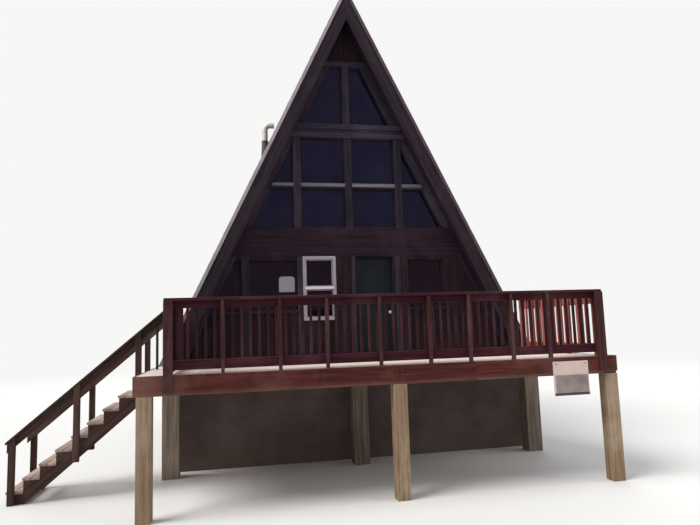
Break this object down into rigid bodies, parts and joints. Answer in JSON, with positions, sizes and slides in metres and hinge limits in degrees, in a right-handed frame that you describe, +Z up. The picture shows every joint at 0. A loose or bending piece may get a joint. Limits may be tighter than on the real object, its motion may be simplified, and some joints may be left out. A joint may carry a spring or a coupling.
{
  "type": "a-frame cabin",
  "caption": "Timber a-frame cabin with a glazed gable, a raised front deck with railings, side stairs and a hinged entry door.",
  "frame": {"origin": "on the lowest ground, at the middle of the front foundation wall's foot, on the centre line", "axes": "+X to the right along the front wall, +Y from the deck to the back of the cabin, +Z up"},
  "size_m": [9.49, 11.932, 9.5776],
  "materials": {
    "stained_siding": "stained, weathered",
    "stained_trim": "stained, weathered",
    "deck_stain": "stained, sun-faded",
    "deck_surface": "bare, weathered",
    "post_wood": "bare, weathered",
    "floor_wood": "bare",
    "foundation": "rough",
    "roofing": "weathered shingles",
    "roof_metal": "satin",
    "roof_metal_dark": "satin",
    "window_glass": "clear",
    "white_frame": "satin",
    "pale_trim": "weathered",
    "door_paint": "painted, satin",
    "hardware": "brushed",
    "board_white": "matt"
  },
  "bodies": {
    "cabin": {"foundation_front": "foundation", "foundation_back": "foundation", "foundation_sides": "foundation", "main_floor": "floor_wood", "upper_floor": "floor_wood", "roof_left": "roofing", "roof_right": "roofing", "front_rake_boards": "stained_trim", "back_rake_boards": "stained_trim", "left_edge_flashings": "roof_metal", "right_edge_flashings": "roof_metal_dark", "ridge_cap": "roof_metal_dark", "front_wall_left": "stained_siding", "front_wall_right": "stained_siding", "ground_floor_glass": "window_glass", "window_sills": "stained_trim", "white_window_frame": "white_frame", "floor_band": "stained_trim", "upper_posts": "stained_trim", "gable_studs": "stained_trim", "window_rail": "pale_trim", "collar_beams": "stained_trim", "peak_panel": "stained_siding", "gable_glass": "window_glass", "door_jambs": "stained_trim", "door_head": "stained_trim", "threshold": "stained_trim", "door_hinges": "hardware", "back_wall_lower": "stained_siding", "back_band": "stained_trim", "back_wall_upper": "stained_siding", "back_window_frames": "stained_trim", "back_glass": "window_glass", "deck_boards": "deck_surface", "front_fascia": "deck_stain", "side_fascias": "deck_stain", "deck_beams": "post_wood", "deck_joists": "post_wood", "front_posts": "post_wood", "rear_posts": "post_wood", "front_railing": "deck_stain", "right_railing": "deck_stain", "left_railing": "deck_stain", "stair_stringers": "deck_stain", "stair_treads": "deck_surface", "stair_rails": "deck_stain", "sign_board": "board_white", "window_notice": "board_white", "vent_pipe": "roof_metal"},
    "door": {"entry_door": "door_paint", "door_knob": "hardware"}
  },
  "joints": [
    {"name": "entry_door_hinge", "type": "hinge", "parent": "cabin", "child": "door", "pos_m": [0.1175, 0.081, 2.95], "axis": [0, 0, 1], "range_deg": [0, 100]}
  ]
}
